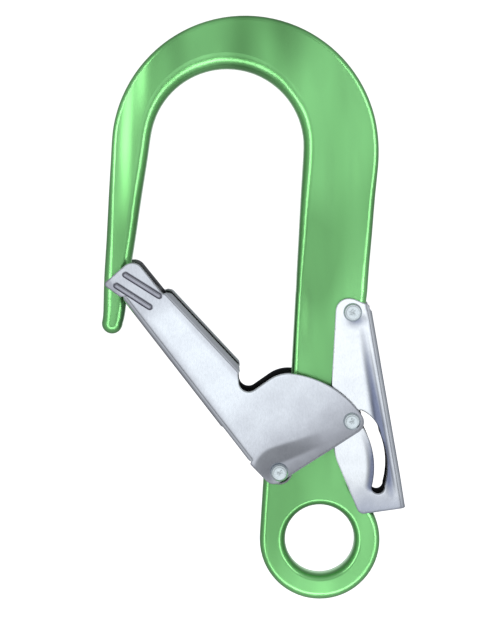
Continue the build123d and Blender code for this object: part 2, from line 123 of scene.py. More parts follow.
# Painted shade on the gate's zinc: each band is (strength, where it starts to fade, the fade's width)
GATE_BEND_SHADE = (0.45, 1.5, 4.5)
GATE_WEB_SHADE = (0.3, 0.4, 1.2)
EAR_SHADE = (0.4, 8.0, 12.0)
LOWER_SHADE = (0.4, 2.0, 30.0)
LOWER_SHADE_FROM = (45.0, 25.0)
HUMP_SHADE = 0.2
HUMP_SHADE_FROM = (58.0, 15.0)
HEM_SHADE = 0.3
HEM_SHADE_FROM = (-2.6, 2.4)
HEM_SHADE_TO = (62.0, 6.0)
SET_IN_SHADE = (0.3, 9.6, 1.6)
SET_IN_FADE = (1.0, 2.0, 16.0)
RIB_SHADE = 0.78
RIB_WALL_SHADE = 1.25

# Lever plate
LEVER_TOP_LEFT = (6.54, 102.24)
LEVER_TOP = (13.55, 102.04)
LEVER_SHOULDER = (20.36, 99.18)
LEVER_BACK_TOP = (21.44, 97.11)
LEVER_BACK_FOOT = (35.95, 14.1)
LEVER_HEEL = (16.41, 11.24)
LEVER_KNEE = (5.95, 36.01)
LEVER_WAIST = (4.37, 62.17)
LEVER_BEND_R = 2.2
POCKET_R = 3.0
DISH_DEPTH = 0.42
DISH_WIDTH = 3.4
GUTTER_AT = 4.2
GUTTER_DEPTH = 0.5
GUTTER_WIDTHS = (1.3, 3.4)
FOOT_DEPTH = 0.5
DIMPLE_DEPTH = 0.4
DIMPLE_OFFSET = (2.8, -4.4)
# More than this and the pressed lever would meet the body, which its plates slide over
LEVER_PRESS_MOST = 0.21

# Painted shade on the lever's zinc, in bands as on the gate
BESIDE_AT = 5.2
BESIDE_SHADE = 1.25
LEVER_FOOT_SHADE = (0.62, 12.0, 16.0)
LEVER_BEND_SHADE = (0.35, 2.2, 0.8)
LEVER_WEB_SHADE = (0.35, 0.2, 1.0)
DISH_SHADE = (1.3, 0.4, 3.4)
SHADE_GREY = 0.9
SHADE_OFFSET = (1.6, -3.4)
SLOT_INNER_FOOT = (21.59, 22.79)
SLOT_INNER_MIDDLE = (22.63, 30.78)
SLOT_INNER_TOP = (18.18, 47.86)
SLOT_POCKET_SIDE = (17.1, 55.16)
SLOT_SHOULDER = (22.33, 51.31)
SLOT_BEND = (25.29, 44.6)
SLOT_OUTER_MIDDLE = (27.76, 35.92)
SLOT_OUTER_FOOT = (26.97, 22.99)
SLOT_FLOOR = (24.3, 20.03)


def joint_centre(name):
    """A hinge's place in the X-Z plane, in millimetres."""
    joint = next(j for j in frame["joints"] if j["name"] == name)
    return np.array([joint["pos_m"][0], joint["pos_m"][2]]) / MM


def node_centre(node):
    low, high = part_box(node)
    return np.array([low.x + high.x, low.z + high.z]) / 2 / MM


def outer_half(node):
    """Distance from the hook's mid-plane to the node's outer face, in millimetres."""
    return -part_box(node)[0].y / MM


GATE_PIVOT = joint_centre("gate_swing")
LOCK_PIVOT = joint_centre("lock_press")
LOCK_PIN = node_centre("lock_stud_front")
PIN_CORNER = GATE_PIVOT + HUMP_R * np.array([math.cos(PIN_CORNER_ANGLE), math.sin(PIN_CORNER_ANGLE)])
GATE_SHAFT_R = 2.5
LOCK_SHAFT_R = 2.75
PIN_SHAFT_R = 2.3


# ---------------------------------------------------------------- outlines

def unit(vector):
    return np.asarray(vector, float) / np.linalg.norm(vector)


def left_of(direction):
    return np.array([-direction[1], direction[0]])


def arc(centre, radius, start, end, spacing=SPACING / 2):
    """Points from angle start to angle end, both included."""
    count = max(3, int(math.ceil(abs(end - start) * radius / spacing)) + 1)
    angles = np.linspace(start, end, count)
    return np.column_stack([centre[0] + radius * np.cos(angles), centre[1] + radius * np.sin(angles)])


def angle_of(point, centre):
    return math.atan2(point[1] - centre[1], point[0] - centre[0])


def nearest_turn(start, end):
    """end moved by whole turns so that it lies within half a turn of start."""
    return end + round((start - end) / (2 * math.pi)) * 2 * math.pi


def arc_through(first, middle, last):
    (ax, ay), (bx, by), (cx, cy) = first, middle, last
    det = 2 * (ax * (by - cy) + bx * (cy - ay) + cx * (ay - by))
    a2, b2, c2 = ax * ax + ay * ay, bx * bx + by * by, cx * cx + cy * cy
    centre = np.array([
        (a2 * (by - cy) + b2 * (cy - ay) + c2 * (ay - by)) / det,
        (a2 * (cx - bx) + b2 * (ax - cx) + c2 * (bx - ax)) / det,
    ])
    start = angle_of(first, centre)
    middle_angle = nearest_turn(start, angle_of(middle, centre))
    end = nearest_turn(middle_angle, angle_of(last, centre))
    return arc(centre, math.dist(first, centre), start, end)


def rounded(corners):
    """Closed outline from (x, z, radius) corners; a radius of 0 keeps the point as it is."""
    points = []
    count = len(corners)
    for i, (x, z, radius) in enumerate(corners):
        here = np.array([x, z])
        if radius == 0:
            points.append(here)
            continue
        back = unit(np.array(corners[i - 1][:2]) - here)
        ahead = unit(np.array(corners[(i + 1) % count][:2]) - here)
        half = math.acos(np.clip(np.dot(back, ahead), -1, 1)) / 2
        centre = here + unit(back + ahead) * radius / math.sin(half)
        first = here + back * radius / math.tan(half)
        last = here + ahead * radius / math.tan(half)
        start = angle_of(first, centre)
        points.extend(arc(centre, radius, start, nearest_turn(start, angle_of(last, centre))))
    return np.array(points)


def resampled(points, spacing=SPACING):
    """The closed outline with its long sides divided."""
    result = []
    for here, ahead in zip(points, np.roll(points, -1, axis=0)):
        length = np.linalg.norm(ahead - here)
        if length < 1e-4:
            continue
        steps = max(1, int(math.ceil(length / spacing)))
        result.extend(here + (ahead - here) * t / steps for t in range(steps))
    return np.array(result)


def line_arc_fillet(start, corner, centre, arc_r, fillet_r):
    """Fillet between a line that ends on an arc and the inside of that arc: its centre and two ends."""
    start, corner, centre = (np.asarray(p, float) for p in (start, corner, centre))
    along = unit(corner - start)
    inwards = left_of(along)
    if np.dot(centre - corner, inwards) < 0:
        inwards = -inwards
    rel = corner + inwards * fillet_r - centre
    b = np.dot(rel, along)
    c = np.dot(rel, rel) - (arc_r - fillet_r) ** 2
    run = min((-b + s * math.sqrt(b * b - c) for s in (-1, 1)), key=abs)
    middle = corner + along * run + inwards * fillet_r
    return middle, corner + along * run, centre + unit(middle - centre) * arc_r


def distance_to(points, starts, ends):
    """Distance from each point to the nearest of the segments."""
    best = np.full(len(points), 1e9)
    for a, b in zip(starts, ends):
        run = b - a
        t = np.clip(((points - a) @ run) / max(run @ run, 1e-12), 0, 1)
        best = np.minimum(best, np.linalg.norm(points - a - t[:, None] * run, axis=1))
    return best


def inside(points, loop):
    """True for each point inside the closed loop."""
    result = np.zeros(len(points), bool)
    for (ax, az), (bx, bz) in zip(loop, np.roll(loop, -1, axis=0)):
        crosses = (az > points[:, 1]) != (bz > points[:, 1])
        if az != bz:
            at = ax + (points[:, 1] - az) * (bx - ax) / (bz - az)
            result ^= crosses & (points[:, 0] < at)
    return result


def smooth(t):
    t = np.clip(t, 0, 1)
    return t * t * (3 - 2 * t)


def fading(value, band):
    """The band's strength below its start, falling smoothly to nothing over its width."""
    strength, start, width = band
    return strength * (1 - smooth((value - start) / width))


def rising(value, start, width):
    return smooth((value - start) / width)


# ---------------------------------------------------------------- sheet metal

class Fold:
    """A bend of the blank along a line: what lies beyond it turns inwards, towards the mid-plane."""

    def __init__(self, start, end, radius, outwards, span=None, depth=1e9, most=math.pi / 2):
        self.start = np.asarray(start, float)
        self.along = unit(np.asarray(end, float) - self.start)
        self.out = np.asarray(outwards, float)
        self.radius = radius
        self.span = span or (-1e9, 1e9)
        self.depth = depth
        self.most = most

    def rows(self, length, before):
        """Mesh points in straight rows along the bend, from this far before it to its end."""
        offsets = np.concatenate([
            np.arange(-before, -0.1, FOLD_ROW),
            np.linspace(0, self.radius * self.most, FOLD_STEPS),
        ])
        places = np.arange(0, length, FOLD_ROW)
        return np.concatenate([self.start + self.along * places[:, None] + self.out * o for o in offsets])

    def holds(self, points, length, before):
        """True for each point in the zone that the rows fill."""
        rel = points - self.start
        along, beyond = rel @ self.along, rel @ self.out
        near = (beyond > -before - FOLD_ROW / 2) & (beyond < self.radius * self.most + FOLD_ROW / 2)
        return near & (along > -FOLD_ROW / 2) & (along < length)

    def apply(self, points, place, normal):
        rel = points - self.start
        along = rel @ self.along
        beyond = rel @ self.out
        held = (beyond > 0) & (beyond < self.depth)
        held &= (along > self.span[0]) & (along < self.span[1])
        turn = np.clip(beyond / self.radius, 0, self.most)
        rest = np.maximum(beyond - self.radius * self.most, 0)
        shift = self.radius * np.sin(turn) + rest * np.cos(turn) - beyond
        place[held, 0] += (shift * self.out[0])[held]
        place[held, 2] += (shift * self.out[1])[held]
        place[held, 1] += (self.radius * (1 - np.cos(turn)) + rest * np.sin(turn))[held]
        normal[held, 0] = (np.sin(turn) * self.out[0])[held]
        normal[held, 2] = (np.sin(turn) * self.out[1])[held]
        normal[held, 1] = -np.cos(turn)[held]


def capsule(start, end, reach):
    """Points all round the line from start to end, at one distance from it."""
    start, end = np.array(start), np.array(end)
    run = unit(end - start)
    straight = np.linspace(0, math.dist(start, end), int(math.dist(start, end) / RIB_SPACING) + 1)
    if reach == 0:
        return start + straight[:, None] * run
    side = math.atan2(*left_of(run)[::-1])
    return np.concatenate([
        start + left_of(run) * reach + straight[:, None] * run,
        start - left_of(run) * reach + straight[:, None] * run,
        arc(start, reach, side, side + math.pi, RIB_SPACING)[1:-1],
        arc(end, reach, side - math.pi, side, RIB_SPACING)[1:-1],
    ])


def blank_points(loops, seam, ribs, bends):
    """A blank's outline, rim and inner points, its edges, and the ends of those off the mid-plane's seam."""
    points, edges, free = [], [], []
    for loop, on_seam in zip(loops, seam):
        first = len(points)
        count = len(loop)
        points.extend(loop)
        for i in range(count):
            edges.append((first + i, first + (i + 1) % count))
            free.append(not on_seam[i])
    outline = np.array(points)
    pairs = np.array(edges)
    free = np.array(free)
    starts, ends = outline[pairs[free, 0]], outline[pairs[free, 1]]
    extra = []
    for step in RIM_STEPS:
        for loop, on_seam in zip(loops, seam):
            turn = 1 if loop is loops[0] else -1
            tangent = np.roll(loop, -1, axis=0) - np.roll(loop, 1, axis=0)
            tangent /= np.linalg.norm(tangent, axis=1)[:, None]
            rim = loop + np.column_stack([-tangent[:, 1], tangent[:, 0]]) * step * turn
            keep = ~(on_seam | np.roll(on_seam, 1))
            rim = rim[keep]
            rim = rim[distance_to(rim, starts, ends) > step * 0.93]
            extra.append(rim)
    low, high = outline.min(0), outline.max(0)
    xs = np.arange(low[0], high[0], SPACING)
    zs = np.arange(low[1], high[1], SPACING * 0.87)
    grid = np.array([(x + SPACING / 2 * (row % 2), z) for row, z in enumerate(zs) for x in xs])
    if ribs:
        spines = np.array(ribs)
        grid = grid[distance_to(grid, spines[:, 0], spines[:, 1]) > RIB_RINGS[-1] + 0.3]
        extra.extend(capsule(*rib, reach) for rib in ribs for reach in RIB_RINGS)
    for fold, length, before in bends:
        grid = grid[~fold.holds(grid, length, before)]
        extra.append(fold.rows(length, before))
    extra.append(grid)
    extra = np.concatenate(extra)
    keep = inside(extra, loops[0])
    for hole in loops[1:]:
        keep &= ~inside(extra, hole)
    extra = extra[keep]
    all_starts, all_ends = outline[pairs[:, 0]], outline[pairs[:, 1]]
    inner = len(grid) + sum(len(fold.rows(length, before)) for fold, length, before in bends)
    on_grid = np.arange(len(extra)) >= len(extra) - np.count_nonzero(keep[-inner:])
    far = distance_to(extra, all_starts, all_ends) > np.where(on_grid, RIM_STEPS[-1] + 0.2, 0.02)
    extra = extra[far]
    everything = np.concatenate([outline, extra])
    return everything, pairs, starts, ends


def pressed_sheet(name, loops, seam, plate_half, folds, press, painted_shading, inner_painted_shading, bends, ribs=()):
    """One folded sheet, symmetric about the mid-plane, from the blank of its front half."""
    points, pairs, starts, ends = blank_points(loops, seam, ribs, bends)
    made = geometry.delaunay_2d_cdt([Vector(p) for p in points], pairs.tolist(), [], 0, 1e-6)
    flat = np.array([tuple(v) for v in made[0]])
    triangles = np.array([f for f in made[2] if len(f) == 3])
    middles = flat[triangles].mean(axis=1)
    keep = inside(middles, loops[0])
    for hole in loops[1:]:
        keep &= ~inside(middles, hole)
    triangles = triangles[keep]
    run_1 = flat[triangles[:, 1]] - flat[triangles[:, 0]]
    run_2 = flat[triangles[:, 2]] - flat[triangles[:, 0]]
    area = run_1[:, 0] * run_2[:, 1] - run_1[:, 1] * run_2[:, 0]
    triangles[area < 0] = triangles[area < 0][:, ::-1]

    place = np.column_stack([flat[:, 0], np.full(len(flat), -(plate_half - SHEET / 2)), flat[:, 1]])
    normal = np.tile([0.0, -1.0, 0.0], (len(flat), 1))
    for fold in folds:
        fold.apply(flat, place, normal)
    seam_points = np.abs(place[:, 1]) < SEAM_TOLERANCE
    triangles = triangles[~seam_points[triangles].all(axis=1)]
    rim = np.clip(distance_to(flat, starts, ends), 0, RIM_R)
    drop = RIM_R - np.sqrt(RIM_R**2 - (RIM_R - rim) ** 2)
    half = SHEET / 2 - drop
    depth = press(flat)
    front = place + normal * (half - depth)[:, None]
    back = place - normal * (half + depth)[:, None]

    count = len(flat)
    vertices = np.concatenate([front, back])
    # Seen from the front the plate's x runs right and z up, so its faces turn the same way as the blank's
    faces = [tuple(t) for t in triangles] + [tuple(t[::-1] + count) for t in triangles]
    used = {}
    for t in triangles:
        for a, b in ((t[0], t[1]), (t[1], t[2]), (t[2], t[0])):
            used[(a, b)] = used.get((a, b), 0) + 1
    vertices[np.tile(seam_points, 2), 1] = 0
    for a, b in used:
        if (b, a) not in used and not (seam_points[a] and seam_points[b]):
            faces.append((b, a, a + count, b + count))
    inner = range(len(triangles), 2 * len(triangles))
    painted_shading_values = np.concatenate([painted_shading(flat), inner_painted_shading(flat)])
    return symmetric_object(name, vertices, faces, inner, painted_shading_values)


def symmetric_object(name, vertices, faces, inner, painted_shading_values):
    """An object from its front half and the mirror image of that half; inner faces take the second finish,
    which paints shade on them.
    """
    count = len(vertices)
    mirrored = vertices * np.array([1, -1, 1])
    both = np.concatenate([vertices, mirrored]) * MM
    all_faces = list(faces) + [tuple(i + count for i in reversed(f)) for f in faces]
    mesh = bpy.data.meshes.new(name)
    mesh.from_pydata(both.tolist(), [], [list(map(int, f)) for f in all_faces])
    for first in (0, len(faces)):
        for i in inner:
            mesh.polygons[first + i].material_index = 1
    shape = bmesh.new()
    shape.from_mesh(mesh)
    # Each vertex keeps how much painted shade its finish mixes in
    layer = shape.verts.layers.float.new("painted_shading")
    for i, vertex in enumerate(shape.verts):
        vertex[layer] = painted_shading_values[i % count]
    middle = [v for v in shape.verts if abs(v.co.y) < 1e-7]
    bmesh.ops.remove_doubles(shape, verts=middle, dist=2e-6)
    bmesh.ops.recalc_face_normals(shape, faces=shape.faces)
    shape.to_mesh(mesh)
    shape.free()
    return shown(name, mesh)


def shown(name, mesh):
    mesh.shade_smooth()
    piece = bpy.data.objects.new(name, mesh)
    bpy.context.scene.collection.objects.link(piece)
    return piece


# ---------------------------------------------------------------- gate

def gate_blank():
    web = unit(np.subtract(WEB_FOOT, WEB_TOP))
    inwards = left_of(web)
    half = outer_half("gate")
    neutral = GATE_BEND_R - SHEET / 2
    centre_line = GATE_BEND_R - (neutral * math.pi / 2 + half - GATE_BEND_R)
    flange = GATE_BEND_R - neutral * FLANGE_ANGLE

    def at(along, across, radius=0.0):
        point = np.asarray(WEB_TOP) + web * along + inwards * across
        return (*point, radius)

    hem = unit(np.subtract(HEM_END, HEM_START))
    hem_out = left_of(hem)
    flat_width = HEM_R - (HEM_NEUTRAL_R + SHEET / 2) * math.sin(HEM_TURN)
    hem_reach = HEM_NEUTRAL_R * HEM_TURN + flat_width / math.cos(HEM_TURN)

    def hem_corner(point, along, out, radius=0.0):
        return (*(np.asarray(point) + hem * along + hem_out * out), radius)

    hump_top = GATE_PIVOT + np.array([0, HUMP_R])
    pin_middle, pin_first, pin_last = line_arc_fillet(GATE_HEEL, PIN_CORNER, GATE_PIVOT, HUMP_R, PIN_CORNER_R)
    top_middle, top_last, top_first = line_arc_fillet(NOTCH_FLOOR, hump_top, GATE_PIVOT, HUMP_R, HUMP_TOP_R)
    pin_start = angle_of(pin_first, pin_middle)
    top_start = angle_of(top_first, top_middle)
    hump = np.concatenate([
        arc(pin_middle, PIN_CORNER_R, pin_start, nearest_turn(pin_start, angle_of(pin_last, pin_middle))),
        arc(GATE_PIVOT, HUMP_R, angle_of(pin_last, GATE_PIVOT), angle_of(top_first, GATE_PIVOT)),
        arc(top_middle, HUMP_TOP_R, top_start, nearest_turn(top_start, angle_of(top_last, top_middle))),
    ])
    corners = [(*point, 0.0) for point in hump]
    corners += [
        (*NOTCH_FLOOR, 4.0),
        (*HEM_END, 0.6),
        hem_corner(HEM_END, -0.6, hem_reach * 0.45, 0.8),
        hem_corner(HEM_END, -2.2, hem_reach, 1.5),
        hem_corner(HEM_START, 2.2, hem_reach, 1.5),
        hem_corner(HEM_START, 0.6, hem_reach * 0.45, 0.8),
        (*HEM_START, 0.6),
        (*GATE_TOP, 5.0),
        (*GATE_TIP, 1.5),
        at(-0.2, 0.05, 0.3),
        at(0.1, 1.0, 0.2),
        at(0.7, 1.0, 0.2),
        at(0.9, 0.6, 0.2),
        at(WEB_START, -0.6, 1.5),
        at(WEB_START, centre_line),
        at(WEB_END, centre_line),
        at(WEB_END, -0.6, 1.2),
        at(WEB_END + 0.8, flange, 0.4),
        at(FLANGE_END, flange, 0.5),
        at(FLANGE_END + 0.3, 1.0, 0.2),
        at(FLANGE_END + 0.9, 1.0, 0.2),
        at(FLANGE_END + 1.3, 0.05, 0.8),
        (*GATE_HEEL, 4.5),
    ]
    outline = rounded(corners)
    folds = [
        Fold(at(0, GATE_BEND_R)[:2], at(1, GATE_BEND_R)[:2], neutral, -inwards, span=(0.4, FLANGE_END + 0.6)),
        Fold(HEM_START, HEM_END, HEM_NEUTRAL_R, hem_out, (0, math.dist(HEM_START, HEM_END)), 6.0, HEM_TURN),
    ]
    return outline, centre_line, folds, web, inwards


def seam_samples(outline, on_line):
    """Outline resampled, with extra points on the seam where the rims of the sheet's ends meet it."""
    result, seam = [], []
    for here, ahead in zip(outline, np.roll(outline, -1, axis=0)):
        length = np.linalg.norm(ahead - here)
        if length < 1e-4:
            continue
        on_seam = on_line(here) and on_line(ahead)
        if on_seam:
            run = (ahead - here) / length
            inner = np.arange(RIM_STEPS[-1] + 0.4, length - RIM_STEPS[-1] - 0.2, SPACING)
            places = [0.0, *RIM_STEPS, *inner, *(length - step for step in reversed(RIM_STEPS))]
            result.extend(here + run * place for place in places)
            seam.extend([True] * len(places))
        else:
            steps = max(1, int(math.ceil(length / SPACING)))
            result.extend(here + (ahead - here) * t / steps for t in range(steps))
            seam.extend([False] * steps)
    return np.array(result), np.array(seam)


def above_heel(points):
    """Distance above the gate's lower edge, which runs from the heel to the locking stud's corner."""
    run = unit(np.subtract(PIN_CORNER, GATE_HEEL))
    return (points - np.asarray(GATE_HEEL)) @ left_of(run)


def on_hem(points):
    """Distance past the hem's crease, and along it."""
    hem = unit(np.subtract(HEM_END, HEM_START))
    rel = points - np.array(HEM_START)
    return rel @ left_of(hem), rel @ hem


def make_gate():
    outline, centre_line, folds, web, inwards = gate_blank()

    def on_line(point):
        return abs((point - np.asarray(WEB_TOP)) @ inwards - centre_line) < 1e-6

    loop, seam = seam_samples(outline, on_line)
    holes = [
        resampled(arc(GATE_PIVOT, GATE_SHAFT_R, 0, 2 * math.pi)[:-1]),
        resampled(arc(LOCK_PIN, PIN_SHAFT_R, 0, 2 * math.pi)[:-1]),
    ]

    def press(points):
        depth = np.zeros(len(points))
        for start, end in RIBS:
            start, end = np.array(start), np.array(end)
            run = unit(end - start)
            across = (points - start) @ left_of(run)
            along = (points - start) @ run
            beyond = np.maximum(np.maximum(-along, along - math.dist(start, end)), 0)
            reach = np.sqrt(across**2 + beyond**2)
            wall = np.where(across < 0, RIB_STEEP_WALL, RIB_GENTLE_WALL)
            depth = np.maximum(depth, RIB_DEPTH * smooth((RIB_HALF - reach) / wall))
        # Round the pivot the sheet is set in towards the body, and less and less along the lower edge
        run = np.array(JOGGLE_SPINE_END) - GATE_PIVOT
        t = np.clip(((points - GATE_PIVOT) @ run) / (run @ run), 0, 1)
        reach = np.linalg.norm(points - GATE_PIVOT - t[:, None] * run, axis=1)
        slope = JOGGLE_REACH - GATE_HEAD_R - JOGGLE_TAPER * t
        joggle = JOGGLE_DEPTH * (1 - np.clip((reach - GATE_HEAD_R) / slope, 0, 1))
        joggle *= 1 - smooth(t)
        # The lower edge is crowned: it falls away from the plate's middle
        crowned = CROWN_DEPTH * np.clip(1 - above_heel(points) / CROWN_REACH, 0, 1.3) ** 2
        return np.maximum(depth, joggle) + crowned

    def painted_shading(points):
        """Painted shade on the zinc: beside the bends and the hem, at the top end, round the pivot, in the
        ribs, and towards the lower edge.
        """
        rel = points - np.asarray(WEB_TOP)
        across, along = rel @ inwards, rel @ web
        web_edge = fading(across, GATE_BEND_SHADE) + fading(across, GATE_WEB_SHADE)
        ear = fading(along, EAR_SHADE)
        past_hem, _ = on_hem(points)
        beside_hem = HEM_SHADE * rising(past_hem, *HEM_SHADE_FROM)
        beside_hem *= smooth((HEM_SHADE_TO[0] - along) / HEM_SHADE_TO[1])
        lower = fading(above_heel(points), LOWER_SHADE) * rising(along, *LOWER_SHADE_FROM)
        lower += HUMP_SHADE * rising(along, *HUMP_SHADE_FROM)
        reach = np.linalg.norm(points - GATE_PIVOT, axis=1)
        set_in = fading(reach, SET_IN_SHADE) * fading(points[:, 0] - GATE_PIVOT[0], SET_IN_FADE)
        result = np.maximum.reduce([web_edge, ear, beside_hem, lower, set_in])
        # Painted shade in each rib's trench, darker still on its steep lower wall
        for start, end in RIBS:
            run = unit(np.subtract(end, start))
            side = (points - np.array(start)) @ left_of(run)
            reach = distance_to(points, [np.array(start)], [np.array(end)])
            trench = 1 - smooth((reach - RIB_HALF + 0.05) / 0.2)
            wall = smooth((reach - 0.5) / 0.3) * trench * (side < 0)
            result = np.maximum(result, np.maximum(RIB_SHADE * trench, RIB_WALL_SHADE * wall))
        return result

    def inner_painted_shading(points):
        """Painted shade inside the channel: dark, but for the hems and the ears, where the zinc still shows.
        """
        past_hem, along = on_hem(points)
        hem_length = math.dist(HEM_START, HEM_END)
        zinc = rising(past_hem, -0.5, 0.8) * smooth((hem_length + 1 - along) / 1.5)
        return 1 - 0.8 * zinc * rising(along, -1, 1.5) - 0.35 * smooth(-along / 2)

    bends = [(folds[0], FLANGE_END, 2.4), (folds[1], math.dist(HEM_START, HEM_END), 1.2)]
    on_seam = [seam, *(np.zeros(len(hole), bool) for hole in holes)]
    return pressed_sheet("gate_pressed", [loop, *holes], on_seam, outer_half("gate"),
                         folds, press, painted_shading, inner_painted_shading, bends, RIBS)


# ---------------------------------------------------------------- lever

def make_lever():
    back = unit(np.subtract(LEVER_BACK_TOP, LEVER_BACK_FOOT))
    inwards = left_of(back)
    half = outer_half("lock_lever")
    neutral = LEVER_BEND_R - SHEET / 2
    centre_line = LEVER_BEND_R - (neutral * math.pi / 2 + half - LEVER_BEND_R)
    length = math.dist(LEVER_BACK_FOOT, LEVER_BACK_TOP)

    def at(along, across, radius=0.0):
        point = np.asarray(LEVER_BACK_FOOT) + back * along + inwards * across
        return (*point, radius)

    outline = rounded([
        (*LEVER_HEEL, 3.0),
        at(0.0, 1.8, 0.5),
        at(0.0, centre_line),
        at(length - 0.3, centre_line),
        at(length - 0.3, 1.2, 1.0),
        (*LEVER_SHOULDER, 1.2),
        (*LEVER_TOP, 8.0),
        (*LEVER_TOP_LEFT, 5.5),
        (*LEVER_WAIST, 20.0),
        (*LEVER_KNEE, 20.0),
    ])

    def on_line(point):
        return abs((point - np.asarray(LEVER_BACK_FOOT)) @ inwards - centre_line) < 1e-6

    loop, seam = seam_samples(outline, on_line)
    pocket_low = LOCK_PIN - np.array([0, POCKET_R])
    pocket_high = LOCK_PIN + np.array([0, POCKET_R])
    slot = np.concatenate([
        arc_through(SLOT_INNER_FOOT, SLOT_FLOOR, SLOT_OUTER_FOOT)[:-1],
        arc_through(SLOT_OUTER_FOOT, SLOT_OUTER_MIDDLE, SLOT_BEND)[:-1],
        arc_through(SLOT_BEND, SLOT_SHOULDER, SLOT_POCKET_SIDE)[:-1],
        [SLOT_POCKET_SIDE],
        arc_through(pocket_high, LOCK_PIN - np.array([POCKET_R, 0]), pocket_low)[:-1],
        [pocket_low],
        arc_through(SLOT_INNER_TOP, SLOT_INNER_MIDDLE, SLOT_INNER_FOOT)[:-1],
    ])
    slot = resampled(slot)
    hole = resampled(arc(LOCK_PIVOT, LOCK_SHAFT_R, 0, 2 * math.pi)[:-1])
    folds = [Fold(at(0, LEVER_BEND_R)[:2], at(1, LEVER_BEND_R)[:2], neutral, -inwards)]
    inner_edge = arc_through(SLOT_INNER_TOP, SLOT_INNER_MIDDLE, SLOT_INNER_FOOT)

    def press(points):
        # The slot's inner side is dished, most of all half way down
        reach = distance_to(points, inner_edge[:-1], inner_edge[1:])
        height = points[:, 1]
        share = smooth((height - 17.0) / 12.0) * smooth((52.0 - height) / 20.0)
        dish = DISH_DEPTH * share * (1 - smooth(reach / DISH_WIDTH))
        # A shallow gutter follows the bend, deeper towards the foot
        across = (points - np.asarray(LEVER_BACK_FOOT)) @ inwards
        width = np.where(across < GUTTER_AT, *GUTTER_WIDTHS)
        gutter = GUTTER_DEPTH * (1 - smooth(np.abs(across - GUTTER_AT) / width))
        gutter *= smooth((106 - height) / 60)
        foot = FOOT_DEPTH * np.clip((30 - height) / 18, 0, 1.2) ** 2
        # A dimple beside the pivot's head
        offset = points - (LOCK_PIVOT + np.array(DIMPLE_OFFSET))
        dimple = DIMPLE_DEPTH * np.exp(-(offset[:, 0] ** 2 / 9.0 + offset[:, 1] ** 2 / 5.0))
        sunk = dish + gutter + foot + dimple
        return LEVER_PRESS_MOST * np.tanh(sunk / LEVER_PRESS_MOST)

    def painted_shading(points):
        """Painted shade on the zinc: along the bend and beside it, at the foot, in the dish and by the rivet.
        """
        across = (points - np.asarray(LEVER_BACK_FOOT)) @ inwards
        height = points[:, 1]
        down = smooth((106 - height) / 56)
        beside = BESIDE_SHADE * down * (1 - smooth(np.abs(across - BESIDE_AT) / (1.6 + 2.4 * down)))
        beside *= 0.3 + 0.7 * rising(height, 14, 16)
        foot = fading(height, LEVER_FOOT_SHADE)
        bend = fading(across, LEVER_BEND_SHADE) + fading(across, LEVER_WEB_SHADE)
        reach = distance_to(points, inner_edge[:-1], inner_edge[1:])
        share = smooth((height - 15.0) / 10.0) * smooth((50.0 - height) / 20.0)
        dish = share * fading(reach, DISH_SHADE)
        offset = points - (LOCK_PIVOT + np.array(SHADE_OFFSET))
        shade = SHADE_GREY * np.exp(-(offset[:, 0] ** 2 / 14.0 + offset[:, 1] ** 2 / 6.0))
        return np.maximum.reduce([beside, foot, bend, dish, shade])

    # Painted shade over all the lever's inner faces
    def inner_painted_shading(points):
        return np.ones(len(points))

    bends = [(folds[0], length, 5.4)]
    on_seam = [seam, np.zeros(len(slot), bool), np.zeros(len(hole), bool)]
    return pressed_sheet("lever_pressed", [loop, slot, hole], on_seam, half,
                         folds, press, painted_shading, inner_painted_shading, bends)


gate_piece = make_gate()
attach(gate_piece, "gate_arm")
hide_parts("gate")

lever_piece = make_lever()
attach(lever_piece, "locking_lever")
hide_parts("lock_lever")


# ---------------------------------------------------------------- rivets and springs

HEAD_HEIGHT = 1.3
HEAD_BEVEL = 0.72
HEAD_BEVEL_DROP = 0.85
RING_STEP = 0.22
SIDES = 72
DENTS = 9
DENT_R = 0.30
DENT_DEPTH = 0.07
DENT_SPREAD = 0.33


def head_profile(radius, inner, outer):
    """Points (radius, distance from the mid-plane) from the top's centre over a bevelled edge to the foot."""
    flat = radius - HEAD_BEVEL
    rings = [(flat * t, outer) for t in np.linspace(0, 1, int(flat / RING_STEP) + 1)]
    rings += [
        (flat + 0.08, outer - 0.03),
        (flat + 0.15, outer - 0.11),
        (radius - 0.12, outer - HEAD_BEVEL_DROP),
        (radius - 0.03, outer - HEAD_BEVEL_DROP - 0.1),
        (radius, outer - HEAD_BEVEL_DROP - 0.25),
        (radius, inner),
    ]
    return rings


def dents(x, z, outer, seed):
    """Height of the small marks that the setting tool left in a rivet's top, none at its rim."""
    marks = 0.0
    for i in range(DENTS):
        angle = seed * 1.7 + i * 2.4
        reach = 0.32 * math.sqrt(i + 0.4)
        off = reach * outer * DENT_SPREAD
        gap = math.hypot(x - off * math.cos(angle), z - off * math.sin(angle))
        marks += math.exp(-(gap / DENT_R) ** 2) * (1 if i % 3 else -0.8)
    return DENT_DEPTH * marks


